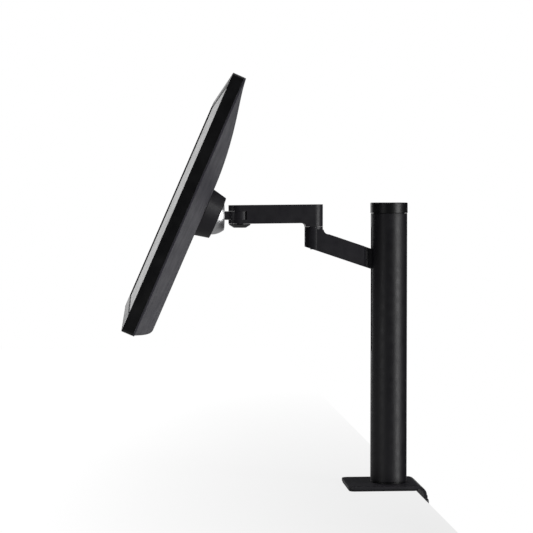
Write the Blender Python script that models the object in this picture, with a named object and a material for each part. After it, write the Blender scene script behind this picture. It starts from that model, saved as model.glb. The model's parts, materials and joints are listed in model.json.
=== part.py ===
"""Desk-clamp monitor arm with its display: column, lift carriage, two arm links, tilt head and screen.

Metres, +Z up. The origin is on the desk surface, on the column's axis; the screen faces -Y.
"""
import math

import bmesh
import bpy
from mathutils import Matrix, Vector

# ---- driving dimensions -------------------------------------------------------------------
GAP = 0.0003                 # clearance left between neighbouring solids

PAD_T = 0.0025               # desk pad under the base plate
PLATE_T = 0.004
PLATE_HALF = 0.0495          # half width of the base plate along X
PLATE_FRONT = -0.065
PLATE_REAR = 0.0497          # outer face of the bent flange
BEND_R = 0.013
FLANGE_LOW = -0.038
BRACKET_HALF = 0.030
JAW_LOW = -0.096
DESK_T = 0.025               # desk thickness held at rest
SPINDLE_R = 0.006

COLUMN_R = 0.027
COLUMN_WALL = 0.003
COLUMN_TOP = 0.4216
CAP_LOW = 0.4062
CAP_R = 0.0276
SLOT_HALF = 0.0062
SLOT_LOW = 0.202
SLOT_TOP = 0.386
NECK_HALF = 0.0042

CARRIAGE_LOW = 0.300
CARRIAGE_TOP = 0.364
DRUM_Y = 0.0112
DRUM_Z = 0.320
DRUM_R = 0.0093

ELBOW_Y = -0.112
BARREL_R = 0.0136
BEAM_HALF = 0.0131           # half width of the lower arm
SEAM_Z = 0.3861              # height of the joint face between the two arm links
ARM_ROOT_LOW = 0.3235        # underside of the lower arm at the column
ARM_ROOT_TOP = 0.3535
LOWER_SLOPE = 0.337          # rise per metre of the lower arm, 18.6 degrees

WRIST_Y = -0.2214
WRIST_R = 0.0166
HUB_R = 0.0160
HUB_LOW = 0.3961
HUB_TOP = 0.4087
UPPER_LOW = 0.3904
UPPER_TOP = 0.4176
UPPER_DROOP = 0.0016         # the upper arm's fall from elbow to wrist

TILT_Y = -0.2628
TILT_Z = 0.4024
TILT_BACK = math.radians(23.5)
DOME_R = 0.0278

DISPLAY_W = 0.6136
DISPLAY_TOP = 0.176          # above the tilt axis, along the screen
DISPLAY_LOW = -0.188
FRONT_Y = -0.0595            # the display's front face, ahead of the tilt axis
FRAME_BACK = -0.044
PLATEAU_Y = -0.0145
SHELL = 0.0025
EDGE_LIP = 0.0022            # the rear cover's height at its edge
BEZEL = 0.0087
CHIN = 0.0195


# ---- materials ----------------------------------------------------------------------------
def make_material(name, colour, roughness, metallic=0.0):
    material = bpy.data.materials.new(name)
    material.use_nodes = True
    shader = material.node_tree.nodes["Principled BSDF"]
    shader.inputs["Base Color"].default_value = (*colour, 1.0)
    shader.inputs["Roughness"].default_value = roughness
    shader.inputs["Metallic"].default_value = metallic
    return material


for old in list(bpy.data.objects):
    bpy.data.objects.remove(old, do_unlink=True)

PAINT = make_material("black_paint", (0.016, 0.015, 0.020), 0.45)
PLASTIC = make_material("black_plastic", (0.012, 0.012, 0.014), 0.5)
COVER = make_material("dark_grey_plastic", (0.045, 0.043, 0.055), 0.5)
SILVER = make_material("brushed_silver", (0.62, 0.62, 0.64), 0.32, 1.0)
STEEL = make_material("zinc_steel", (0.45, 0.45, 0.47), 0.35, 1.0)
BLACK_STEEL = make_material("black_steel", (0.03, 0.03, 0.032), 0.4, 1.0)
SPRING = make_material("spring_steel", (0.5, 0.5, 0.52), 0.25, 1.0)
NYLON = make_material("white_nylon", (0.75, 0.74, 0.70), 0.5)
RUBBER = make_material("black_rubber", (0.02, 0.02, 0.02), 0.85)
SCREEN = make_material("matte_screen", (0.05, 0.05, 0.055), 0.35)
BOARD = make_material("green_board", (0.02, 0.12, 0.05), 0.5)


# ---- shape helpers ------------------------------------------------------------------------
# An outline lies in the plane that faces the given axis: (x, y) facing Z, (y, z) facing X, (x, z) facing Y.
PLANES = {
    "Z": Matrix.Identity(4),
    "X": Matrix(((0, 0, 1, 0), (1, 0, 0, 0), (0, 1, 0, 0), (0, 0, 0, 1))),
    "Y": Matrix(((1, 0, 0, 0), (0, 0, 1, 0), (0, 1, 0, 0), (0, 0, 0, 1))),
}


def prism(outline, low, high, facing="Z"):
    """A straight extrusion of an outline from low to high along the axis it faces."""
    bm = bmesh.new()
    corners = [bm.verts.new((a, b, low)) for a, b in outline]
    base = bm.faces.new(corners)
    grown = bmesh.ops.extrude_face_region(bm, geom=[base])
    moved = [item for item in grown["geom"] if isinstance(item, bmesh.types.BMVert)]
    bmesh.ops.translate(bm, verts=moved, vec=(0, 0, high - low))
    bm.transform(PLANES[facing])
    return bm


def turned(profile, facing="Z", steps=32):
    """A profile of (radius, height) points, closed on itself, spun about the axis it faces."""
    bm = bmesh.new()
    points = [bm.verts.new((radius, 0, height)) for radius, height in profile]
    edges = [bm.edges.new((points[i], points[i - 1])) for i in range(len(points))]
    bmesh.ops.spin(bm, geom=points + edges, cent=(0, 0, 0), axis=(0, 0, 1),
                   angle=math.tau, steps=steps, use_merge=True)
    bmesh.ops.remove_doubles(bm, verts=bm.verts, dist=1e-6)
    on_axis = [edge for edge in bm.edges if not edge.link_faces]
    bmesh.ops.delete(bm, geom=on_axis, context="EDGES")
    bm.transform(PLANES[facing])
    return bm


def arc(centre, radius, start, end, steps):
    """Points on a circle from one angle to another, in degrees."""
    angles = [math.radians(start + (end - start) * i / steps) for i in range(steps + 1)]
    return [(centre[0] + radius * math.cos(a), centre[1] + radius * math.sin(a)) for a in angles]


def rod(radius, low, high, facing="Z", steps=20, chamfer=0.0):
    """A plain round bar, with chamfered ends when a chamfer is given."""
    if not chamfer:
        return prism(arc((0, 0), radius, 3, 363 - 360 / steps, steps - 1), low, high, facing)
    profile = [(0, low), (radius - chamfer, low), (radius, low + chamfer),
               (radius, high - chamfer), (radius - chamfer, high), (0, high)]
    return turned(profile, facing, steps)


def ring(inner, outer, low, high, facing="Z", steps=24):
    """A plain sleeve or washer."""
    return turned([(inner, low), (outer, low), (outer, high), (inner, high)], facing, steps)


def block(low, high):
    """A box given by its lowest and highest corners."""
    outline = [(low[0], low[1]), (high[0], low[1]), (high[0], high[1]), (low[0], high[1])]
    return prism(outline, low[2], high[2])


def rounded(low, high, radius, steps=4):
    """A rectangle with rounded corners."""
    points = []
    for cx, cy, start in ((high[0] - radius, high[1] - radius, 0),
                          (low[0] + radius, high[1] - radius, 90),
                          (low[0] + radius, low[1] + radius, 180),
                          (high[0] - radius, low[1] + radius, 270)):
        points += arc((cx, cy), radius, start, start + 90, steps)
    return points


def hexagon(across_flats):
    """A hexagon centred on the axis."""
    return arc((0, 0), across_flats / math.sqrt(3), 0, 300, 5)


def round_edges(bm, chosen, radius, segments=3):
    """Round the edges for which chosen(start, end) is true."""
    edges = [edge for edge in bm.edges if chosen(edge.verts[0].co, edge.verts[1].co)]
    bmesh.ops.bevel(bm, geom=edges, offset=radius, segments=segments, profile=0.5,
                    affect="EDGES", clamp_overlap=True)
    return bm


def make_object(name, bm, material, parent=None, at=(0, 0, 0)):
    """Turn a bmesh into a named, smooth-shaded object under its parent."""
    bmesh.ops.recalc_face_normals(bm, faces=bm.faces)
    if bm.calc_volume(signed=True) < 0:
        bmesh.ops.reverse_faces(bm, faces=bm.faces)
    mesh = bpy.data.meshes.new(name)
    bm.to_mesh(mesh)
    bm.free()
    mesh.materials.append(material)
    mesh.shade_smooth()
    mesh.set_sharp_from_angle(angle=math.radians(35))
    thing = bpy.data.objects.new(name, mesh)
    thing.location = at
    thing.parent = parent
    bpy.context.scene.collection.objects.link(thing)
    return thing


def make_axis(name, parent=None, at=(0, 0, 0), turn=(0, 0, 0)):
    """An empty that stands on a joint's axis."""
    axis = bpy.data.objects.new(name, None)
    axis.location = at
    axis.rotation_euler = turn
    axis.parent = parent
    bpy.context.scene.collection.objects.link(axis)
    return axis


def combine(thing, bm, operation="DIFFERENCE", at=(0, 0, 0)):
    """Cut a shape out of an object, join it on, or keep only what both share."""
    tool = make_object(thing.name + "_tool", bm, thing.data.materials[0], thing.parent, at)
    tool.hide_render = True
    tool.display_type = "WIRE"
    step = thing.modifiers.new(operation.lower(), "BOOLEAN")
    step.operation = operation
    step.solver = "EXACT"
    step.object = tool
    return thing


def screw(name, radius, length, head_r, head_t, facing, flip, parent, at, socket):
    """A cap screw with a hexagon socket; its shank runs away from the head."""
    sign = -1 if flip else 1
    profile = [(0, -sign * length), (radius, -sign * length), (radius, 0), (head_r, 0),
               (head_r, sign * head_t * 0.75), (head_r * 0.9, sign * head_t), (0, sign * head_t)]
    item = make_object(name, turned(profile, facing, 20), BLACK_STEEL, parent, at)
    ends = sorted((sign * head_t * 0.35, sign * head_t * 1.5))
    return combine(item, prism(hexagon(socket), ends[0], ends[1], facing), at=at)


# ---- joint axes ---------------------------------------------------------------------------
swivel_axis = make_axis("axis_column_swivel")
lift_axis = make_axis("axis_height_slide", swivel_axis)
drum_axis = make_axis("axis_drum", lift_axis, (0, DRUM_Y, DRUM_Z))
elbow_axis = make_axis("axis_elbow", lift_axis, (0, ELBOW_Y, 0))
wrist_axis = make_axis("axis_wrist", elbow_axis, (0, WRIST_Y - ELBOW_Y, 0))
tilt_axis = make_axis("axis_head_tilt", wrist_axis, (0, TILT_Y - WRIST_Y, TILT_Z),
                      (-TILT_BACK, 0, 0))
pivot_axis = make_axis("axis_display_pivot", tilt_axis)
pad_axis = make_axis("axis_clamp_pad")
spindle_axis = make_axis("axis_clamp_screw", pad_axis)


# ---- desk clamp and base ------------------------------------------------------------------
PLATE_LOW = PAD_T + GAP
PLATE_TOP = PLATE_LOW + PLATE_T
SCREW_Z = -0.022
SCREW_X = 0.018


def build_base():
    make_object("desk_pad", prism(rounded((-PLATE_HALF + 0.001, PLATE_FRONT + 0.001),
                                          (PLATE_HALF - 0.001, 0.038), 0.008), 0, PAD_T), RUBBER)
    outer = arc((PLATE_REAR - BEND_R, PLATE_TOP - BEND_R), BEND_R, 90, 0, 6)
    inner = arc((PLATE_REAR - BEND_R, PLATE_TOP - BEND_R), BEND_R - PLATE_T, 0, 90, 6)
    side = [(PLATE_FRONT, PLATE_LOW), (PLATE_FRONT, PLATE_TOP)] + outer
    side += [(PLATE_REAR, FLANGE_LOW), (PLATE_REAR - PLATE_T, FLANGE_LOW)] + inner
    plate = prism(side, -PLATE_HALF, PLATE_HALF, "X")
    round_edges(plate, lambda a, b: abs(a.z - b.z) > 0.003 and max(a.y, b.y) < PLATE_FRONT + 0.001
                and abs(a.x - b.x) < 1e-6, 0.010, 5)
    round_edges(plate, lambda a, b: max(a.z, b.z) < FLANGE_LOW + 1e-5 and abs(a.x - b.x) < 1e-6,
                0.008, 4)
    plate = make_object("base_plate", plate, PAINT)
    combine(plate, rod(0.0045, 0, 0.010))
    combine(plate, rod(0.0090, 0, PLATE_LOW + 0.0022))
    for x in (-SCREW_X, SCREW_X):
        combine(plate, rod(0.0033, 0.030, 0.060, "Y", 16), at=(x, 0, SCREW_Z))

    near = PLATE_REAR + GAP
    far = near + 0.004
    jaw_top = JAW_LOW + 0.004
    side = [(near, -0.010), (near, jaw_top), (-0.016, jaw_top), (-0.016, JAW_LOW)]
    side += arc((far - 0.009, JAW_LOW + 0.009), 0.009, 270, 360, 5) + [(far, -0.010)]
    bracket = make_object("clamp_bracket", prism(side, -BRACKET_HALF, BRACKET_HALF, "X"), PAINT)
    combine(bracket, rod(0.0092, JAW_LOW - 0.01, jaw_top + 0.01, steps=32))
    for i, x in enumerate((-SCREW_X, SCREW_X)):
        combine(bracket, rod(0.0033, near - 0.01, far + 0.01, "Y", 16), at=(x, 0, SCREW_Z))
        screw(f"bracket_screw_{i + 1}", 0.003, 0.0085, 0.0052, 0.003, "Y", False, None,
              (x, far + GAP, SCREW_Z), 0.004)

    collar = [(SPINDLE_R + GAP, JAW_LOW - 0.010), (0.0125, JAW_LOW - 0.010),
              (0.0125, JAW_LOW - GAP), (0.0089, JAW_LOW - GAP),
              (0.0089, jaw_top + 0.002), (SPINDLE_R + GAP, jaw_top + 0.002)]
    make_object("clamp_nut", turned(collar), STEEL)


def build_clamp_screw():
    pad_top = -DESK_T
    make_object("pressure_pad", rod(0.0235, pad_top - 0.0025, pad_top, steps=36), RUBBER, pad_axis)
    cup_top = pad_top - 0.0025 - GAP
    cup = [(0, cup_top - 0.003), (SPINDLE_R + 0.0008, cup_top - 0.003),
           (SPINDLE_R + 0.0008, cup_top - 0.012), (0.012, cup_top - 0.012),
           (0.013, cup_top - 0.006), (0.0235, cup_top - 0.004), (0.0235, cup_top), (0, cup_top)]
    make_object("pressure_disc", turned(cup, steps=36), BLACK_STEEL, pad_axis)
    spindle_low = -0.152
    make_object("clamp_spindle", rod(SPINDLE_R, spindle_low, cup_top - 0.0034, chamfer=0.001), STEEL,
                spindle_axis)
    lobes = 6
    outline = []
    for i in range(72):
        angle = math.tau * i / 72
        radius = 0.0205 + 0.0025 * math.cos(lobes * angle)
        outline.append((radius * math.cos(angle), radius * math.sin(angle)))
    knob = make_object("clamp_knob", prism(outline, -0.156, -0.136), PLASTIC, spindle_axis)
    combine(knob, rod(SPINDLE_R + GAP, spindle_low - GAP, -0.120))


# ---- column -------------------------------------------------------------------------------
POST_R = 0.0145
POST_TOP = 0.058


def build_column():
    post = [(0, PLATE_TOP + GAP), (0.0185, PLATE_TOP + GAP), (0.0185, 0.0095), (POST_R, 0.0095),
            (POST_R, POST_TOP), (0, POST_TOP)]
    post = make_object("swivel_post", turned(post), STEEL)
    combine(post, rod(0.0036, 0.004, POST_TOP + 0.002, steps=16))
    head_low = PLATE_LOW + 0.0003
    bolt = [(0, head_low), (0.0085, head_low), (0.0085, head_low + 0.0016), (0.0032, head_low + 0.0016),
            (0.0032, 0.030), (0, 0.030)]
    make_object("post_bolt", turned(bolt, steps=20), STEEL)
    make_object("swivel_washer", ring(0.0190, COLUMN_R - 0.0004, PLATE_TOP + GAP, 0.0090, steps=40),
                NYLON)
    screw("retainer_bolt", 0.0033, 0.024, 0.0205, 0.005, "Z", False, None, (0, 0, POST_TOP + GAP), 0.005)

    inner = COLUMN_R - COLUMN_WALL
    bottom = 0.0093
    tube = ring(inner, COLUMN_R, bottom, CAP_LOW - GAP, steps=48)
    tube = make_object("column_tube", tube, PAINT, swivel_axis)
    combine(tube, block((-SLOT_HALF, -0.035, SLOT_LOW), (SLOT_HALF, -0.015, SLOT_TOP)))
    make_object("swivel_bush", ring(POST_R + GAP, 0.0173, 0.0098, 0.0575), NYLON, swivel_axis)
    make_object("column_foot", ring(0.0176, inner - GAP, bottom + 0.0004, 0.0578, steps=40), BLACK_STEEL,
                swivel_axis)

    liner = block((-SLOT_HALF + GAP, -0.0253, SLOT_LOW + GAP), (SLOT_HALF - GAP, -0.0238, SLOT_TOP - GAP))
    liner = make_object("slot_liner", liner, PLASTIC, swivel_axis)
    opening = NECK_HALF + 0.0004
    combine(liner, block((-opening, -0.030, SLOT_LOW + 0.002), (opening, -0.018, SLOT_TOP - 0.002)))

    cap = [(0, 0.4042), (inner - 0.0005, 0.4042), (inner - 0.0005, CAP_LOW), (CAP_R, CAP_LOW)]
    cap += [(CAP_R - 0.0012 + a, COLUMN_TOP - 0.0012 + b) for a, b in arc((0, 0), 0.0012, 0, 90, 3)]
    cap += [(0, COLUMN_TOP)]
    make_object("column_cap", turned(cap, steps=40), PLASTIC, swivel_axis)
    anchor = make_object("spring_anchor", block((-0.010, -0.006, 0.3955), (0.010, 0.008, 0.4039)), STEEL,
                         swivel_axis)
    combine(anchor, block((-0.0078, STRIP_Y - 0.0006, 0.390), (0.0078, STRIP_Y + 0.0006, 0.4005)))
    make_object("spring_strip", block((-0.0075, STRIP_Y - 0.0003, DRUM_Z), (0.0075, STRIP_Y + 0.0003, 0.400)),
                SPRING, swivel_axis)


# ---- lift carriage and lower arm ----------------------------------------------------------
STRIP_Y = DRUM_Y - DRUM_R - 0.0007


def build_carriage():
    body = make_object("carriage_block", rod(0.0205, CARRIAGE_LOW, CARRIAGE_TOP, steps=36), BLACK_STEEL,
                       lift_axis)
    pocket = NECK_HALF + GAP
    combine(body, block((-pocket, -0.030, ARM_ROOT_LOW - GAP), (pocket, -0.0085, ARM_ROOT_TOP + GAP)))
    combine(body, block((-0.0095, STRIP_Y - 0.0012, DRUM_Z - 0.0105), (0.0095, 0.030, CARRIAGE_TOP + 0.01)))
    combine(body, rod(0.0024, -0.030, 0.030, "X", 16), at=(0, DRUM_Y, DRUM_Z))
    for z in (0.331, 0.346):
        combine(body, rod(0.0024, -0.030, 0.030, "X", 16), at=(0, -0.0145, z))
    make_object("glide_upper", ring(0.0125, 0.0234, CARRIAGE_TOP + GAP, CARRIAGE_TOP + 0.004, steps=36),
                NYLON, lift_axis)
    make_object("glide_lower", ring(0.0125, 0.0234, CARRIAGE_LOW - 0.004, CARRIAGE_LOW - GAP, steps=36),
                NYLON, lift_axis)
    make_object("drum_axle", rod(0.0021, -0.0145, 0.0145, "X", 16), STEEL, lift_axis,
                (0, DRUM_Y, DRUM_Z))
    for i, z in enumerate((0.331, 0.346)):
        make_object(f"arm_pin_{i + 1}", rod(0.0021, -0.0140, 0.0140, "X", 16), STEEL, lift_axis,
                    (0, -0.0145, z))

    spool = [(0.0024, -0.0088), (0.0085, -0.0088), (0.0085, -0.0080), (DRUM_R, -0.0078),
             (DRUM_R, 0.0078), (0.0085, 0.0080), (0.0085, 0.0088), (0.0024, 0.0088)]
    make_object("spring_drum", turned(spool, "X", 28), SPRING, drum_axis)


def build_lower_arm():
    top_y, top_z = -0.0270, ARM_ROOT_TOP
    near_barrel = -0.0905
    fillet_r = 0.0075
    rise_top = top_z + (top_y - near_barrel) * LOWER_SLOPE
    outline = [(-0.0090, ARM_ROOT_LOW), (-0.0090, ARM_ROOT_TOP), (top_y, top_z), (near_barrel, rise_top)]
    outline += arc((near_barrel - 0.0005, rise_top + fillet_r), fillet_r, 270, 195, 4)[1:]
    outline += [(ELBOW_Y, rise_top + fillet_r), (ELBOW_Y, 0.330), (-0.0300, 0.315), (-0.0270, ARM_ROOT_LOW)]
    beam = prism([(y - ELBOW_Y, z) for y, z in outline], -BEAM_HALF, BEAM_HALF, "X")
    barrel = rod(BARREL_R, 0.335, SEAM_Z - GAP, steps=40)
    arm = make_object("lower_arm", barrel, PAINT, lift_axis, (0, ELBOW_Y, 0))
    combine(arm, beam, "UNION", (0, ELBOW_Y, 0))

    root = -0.0270 - ELBOW_Y
    low_left = -BARREL_R - 0.004
    wedge = [(low_left, ARM_ROOT_LOW + (root - low_left) * LOWER_SLOPE), (root, ARM_ROOT_LOW),
             (root, 0.300), (low_left, 0.300)]
    combine(arm, prism(wedge, -0.02, 0.02, "X"), at=(0, ELBOW_Y, 0))
    flare = BEAM_HALF - NECK_HALF + 0.0004
    flare_y = -0.0388 + flare
    for side in (-1, 1):
        cheek = [(NECK_HALF, 0.0)] + arc((NECK_HALF + flare, flare_y), flare, 180, 270, 5)
        cheek += [(0.0200, -0.0388), (0.0200, 0.0)]
        combine(arm, prism([(side * x, y) for x, y in cheek], 0.30, 0.40))
    combine(arm, rod(0.0056, 0.352, 0.400), at=(0, ELBOW_Y, 0))
    combine(arm, rod(0.0026, 0.0070, 0.020, "X", 16), at=(0, ELBOW_Y, 0.3637))
    for z in (0.331, 0.346):
        combine(arm, rod(0.0024, -0.02, 0.02, "X", 16), at=(0, -0.0145, z))
    pin = [(0, 0.3525), (0.0053, 0.3525), (0.0053, 0.4118), (0.0045, 0.4124), (0, 0.4124)]
    make_object("elbow_pin", turned(pin), STEEL, lift_axis, (0, ELBOW_Y, 0))
    set_screw = make_object("elbow_set_screw", rod(0.0023, 0.0074, 0.0130, "X", 16), BLACK_STEEL, lift_axis,
                            (0, ELBOW_Y, 0.3637))
    combine(set_screw, prism(hexagon(0.0022), 0.0105, 0.020, "X"), at=(0, ELBOW_Y, 0.3637))


# ---- upper arm ----------------------------------------------------------------------------
def build_upper_arm():
    span = WRIST_Y - ELBOW_Y
    tangent = math.degrees(math.asin((WRIST_R - BARREL_R) / -span))
    outline = arc((0, 0), BARREL_R - 0.0001, -tangent, 180 + tangent, 20)
    outline += arc((0, span), WRIST_R, 180 + tangent, 360 - tangent, 20)
    body = make_object("upper_arm", prism(outline, 0.380, 0.425), PAINT, elbow_axis)

    front = -0.02 + span
    rear = 0.02
    top = UPPER_TOP + UPPER_DROOP
    side = [(front, UPPER_TOP), (rear, top), (rear, SEAM_Z), (-0.0128, SEAM_Z), (-0.0128, 0.3890)]
    side += [(-0.0148, 0.3906), (-0.0175, 0.3913), (span + 0.015, UPPER_LOW), (front, UPPER_LOW)]
    combine(body, prism(side, -0.03, 0.03, "X"), "INTERSECT")

    slot_low = HUB_LOW - 0.0004
    slot_top = HUB_TOP + 0.0004
    combine(body, rod(HUB_R + 0.0004, slot_low, slot_top, steps=40), at=(0, span, 0))
    combine(body, block((-0.03, -0.03, slot_low), (0.03, 0.0093, slot_top)), at=(0, span, 0))
    combine(body, rod(0.0053, 0.380, 0.430), at=(0, span, 0))
    combine(body, rod(0.0090, 0.4136, 0.430), at=(0, span, 0))
    combine(body, rod(0.0078, 0.380, 0.4140), at=(0, 0, 0))
    make_object("elbow_bush", ring(0.0057, 0.0075, SEAM_Z + GAP, 0.4120), NYLON, elbow_axis)

    bolt = [(0, 0.3878), (0.0050, 0.3878), (0.0050, 0.4139), (0.0087, 0.4139), (0.0087, 0.4166),
            (0.0080, 0.4173), (0, 0.4173)]
    bolt = make_object("wrist_bolt", turned(bolt, steps=28), BLACK_STEEL, elbow_axis, (0, span, 0))
    combine(bolt, prism(hexagon(0.006), 0.4150, 0.43), at=(0, span, 0))
    cover_top = UPPER_LOW - GAP
    cover = [(0, 0.3845), (0.0092, 0.3845), (0.0156, 0.3888), (0.0158, cover_top), (0.0053, cover_top),
             (0.0053, 0.3872), (0, 0.3872)]
    make_object("wrist_nut_cover", turned(cover, steps=36), PLASTIC, elbow_axis, (0, span, 0))


# ---- wrist knuckle and ball dome ----------------------------------------------------------
def build_wrist():
    reach = TILT_Y - WRIST_Y
    knuckle = make_object("wrist_knuckle", rod(HUB_R, HUB_LOW, HUB_TOP, steps=40), PAINT, wrist_axis)
    stub = prism(rounded((-0.0085, HUB_LOW), (0.0085, HUB_TOP), 0.003), reach, -0.004, "Y")
    combine(knuckle, stub, "UNION")
    combine(knuckle, rod(0.0068, -0.0115, 0.0115, "X"), "UNION", (0, reach, TILT_Z))
    combine(knuckle, rod(0.0076, 0.39, 0.42))
    combine(knuckle, rod(0.0036, -0.02, 0.02, "X", 16), at=(0, reach, TILT_Z))
    screw_at = (0, 0.0027, 0.4022)
    combine(knuckle, rod(0.0056, 0.0100, 0.02, "X"), at=screw_at)
    make_object("wrist_bush", ring(0.0053, 0.0073, HUB_LOW - 0.0001, HUB_TOP + 0.0001), NYLON, wrist_axis)
    side_screw = make_object("wrist_side_screw", rod(0.0053, 0.0103, 0.0138, "X", 24, 0.0006), BLACK_STEEL,
                             wrist_axis, screw_at)
    combine(side_screw, prism(hexagon(0.0050), 0.0115, 0.03, "X"), at=screw_at)

    back = 0.0182
    rim = -0.0033
    inner_r = DOME_R - 0.0022

    def sphere_arc(radius, start, end, steps):
        points = []
        for i in range(steps + 1):
            height = start + (end - start) * i / steps
            points.append((math.sqrt(radius * radius - height * height), height))
        return points

    profile = [(0, back)] + sphere_arc(DOME_R, back, rim, 7)
    profile += sphere_arc(inner_r, rim, back - 0.0022, 4) + [(0, back - 0.0022)]
    dome = make_object("joint_dome", turned(profile, "Y", 32), SILVER, wrist_axis, (0, reach, TILT_Z))
    combine(dome, block((-0.0088, 0.010, -0.0066), (0.0088, 0.030, 0.0066)), at=(0, reach, TILT_Z))


# ---- tilt head ----------------------------------------------------------------------------
EAR_IN = 0.0120
EAR_OUT = 0.0164
DISC_BACK = -0.0104
DISC_FRONT = -0.0132
SHAFT_R = 0.0076


def build_head():
    bracket = make_object("tilt_bracket", rod(0.0200, DISC_FRONT, DISC_BACK, "Y", 32), BLACK_STEEL, tilt_axis)
    for side in (-1, 1):
        ear = arc((0, 0), 0.008, -90, 90, 8) + [(-0.0125, 0.0095), (-0.0125, -0.0095)]
        ends = sorted((side * EAR_IN, side * EAR_OUT))
        combine(bracket, prism(ear, ends[0], ends[1], "X"), "UNION")
    combine(bracket, rod(0.0036, -0.03, 0.03, "X", 16))
    combine(bracket, rod(SHAFT_R + 0.0004, -0.02, 0.0, "Y"))
    axle = make_object("tilt_axle", turned([(0, -0.0205), (0.0033, -0.0205), (0.0033, EAR_OUT + GAP),
                                            (0.0055, EAR_OUT + GAP), (0.0055, 0.0192), (0, 0.0192)], "X", 20),
                       STEEL, tilt_axis)
    combine(axle, prism(hexagon(0.004), 0.0180, 0.03, "X"))
    nut = make_object("tilt_nut", prism(hexagon(0.0095), -0.0197, -EAR_OUT - GAP, "X"), STEEL, tilt_axis)
    combine(nut, rod(0.0036, -0.03, -0.01, "X", 16))

    boss_back = 0.0095
    boss_front = -0.0131
    cover = [(0.0340, boss_front), (0.0366, boss_front), (0.0366, -0.0120)]
    cover += [(0.0320, boss_back - 0.0010), (0.0311, boss_back), (0.0268, boss_back), (0.0268, 0.0080)]
    cover += [(0.0292, 0.0072)]
    make_object("head_cover", turned(cover, "Y", 40), PAINT, tilt_axis)
    wing = math.degrees(math.asin(0.0152 / 0.0333))
    outline = arc((0, 0), 0.0333, -wing, wing, 6) + arc((0, 0), 0.0333, 180 - wing, 180 + wing, 6)
    base = make_object("head_base", prism(outline, -0.0162, DISC_FRONT - GAP, "Y"), BLACK_STEEL, tilt_axis)
    combine(base, rod(SHAFT_R + 0.0004, -0.03, 0.0, "Y"))
    shaft = [(0, -0.0255), (SHAFT_R, -0.0255), (SHAFT_R, DISC_BACK + GAP), (0.0110, DISC_BACK + GAP),
             (0.0110, -0.0076), (0, -0.0076)]
    make_object("pivot_shaft", turned(shaft, "Y", 28), STEEL, tilt_axis)
    make_object("pivot_washer", ring(SHAFT_R + GAP, 0.0150, -0.0173, -0.0165, "Y"), NYLON, tilt_axis)
    nut = make_object("pivot_nut", prism(hexagon(0.0240), -0.0248, -0.0218, "Y"), STEEL, tilt_axis)
    combine(nut, rod(SHAFT_R + GAP, -0.03, -0.02, "Y"))


# ---- display ------------------------------------------------------------------------------
BUTTON_HALF = 0.009
BUTTON_LOW = -0.058
BUTTON_TOP = -0.048
ROCKER_X = 0.232
ROCKER_HALF = 0.016
POWER_X = 0.272
POWER_HALF = 0.006
KEY_Y = -0.0515              # both keys sit in the underside of the frame
KEY_HALF = 0.0020
PORT_LOW = -0.128
PORT_TOP = -0.104
PORT_HALF = 0.066


def cover_height(x, z):
    """How far the rear cover bulges behind the frame at a point: a dome towards the sides and the top."""
    across = math.sin(math.pi / 2 * min(max((DISPLAY_W / 2 - abs(x)) / 0.247, 0), 1))
    down = 1 - max((z - 0.035) / 0.160, 0) ** 2
    return (PLATEAU_Y - FRAME_BACK - GAP - EDGE_LIP) * across * down


def pillow(inset, base):
    """The rear cover's outer form, moved inwards by an inset and standing on a flat base."""
    half = DISPLAY_W / 2 - inset
    high = DISPLAY_TOP - inset
    low = DISPLAY_LOW + inset
    columns = 16
    rows = 9
    xs = [half * (2 * i / columns - 1) for i in range(columns + 1)]
    rounding = {low: 0.0045, low + 0.0013: 0.0013, low + 0.0045: 0.0}
    zs = list(rounding) + [-0.100, -0.020]
    zs += [0.035 + (high - 0.035) * i / rows for i in range(rows + 1)]
    bm = bmesh.new()
    grid = []
    for z in zs:
        line = []
        for x in xs:
            bulge = max(cover_height(x, z) - rounding.get(z, 0.0), 0.0)
            height = EDGE_LIP + bulge - inset * 0.8
            line.append(bm.verts.new((x, FRAME_BACK + GAP + height, z)))
        grid.append(line)
    for j in range(len(zs) - 1):
        for i in range(columns):
            bm.faces.new((grid[j][i], grid[j][i + 1], grid[j + 1][i + 1], grid[j + 1][i]))
    loop = grid[0] + [line[-1] for line in grid[1:]] + grid[-1][-2::-1] + [line[0] for line in grid[-2:0:-1]]
    foot = [bm.verts.new((vert.co.x, base, vert.co.z)) for vert in loop]
    for i in range(len(loop)):
        bm.faces.new((loop[i - 1], loop[i], foot[i], foot[i - 1]))
    bm.faces.new(foot)
    return bm


def build_rear_cover():
    shell = make_object("rear_cover", pillow(0.0, FRAME_BACK + GAP), COVER, pivot_axis)
    combine(shell, pillow(SHELL, FRAME_BACK - 0.005))
    combine(shell, rod(0.0343, -0.03, 0.0, "Y", 40))
    combine(shell, block((-BUTTON_HALF - 0.0004, -0.03, BUTTON_LOW - 0.0004),
                         (BUTTON_HALF + 0.0004, 0.0, BUTTON_TOP + 0.0004)))
    combine(shell, block((-PORT_HALF, -0.030, PORT_LOW), (PORT_HALF, 0.0, PORT_TOP)))


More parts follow.
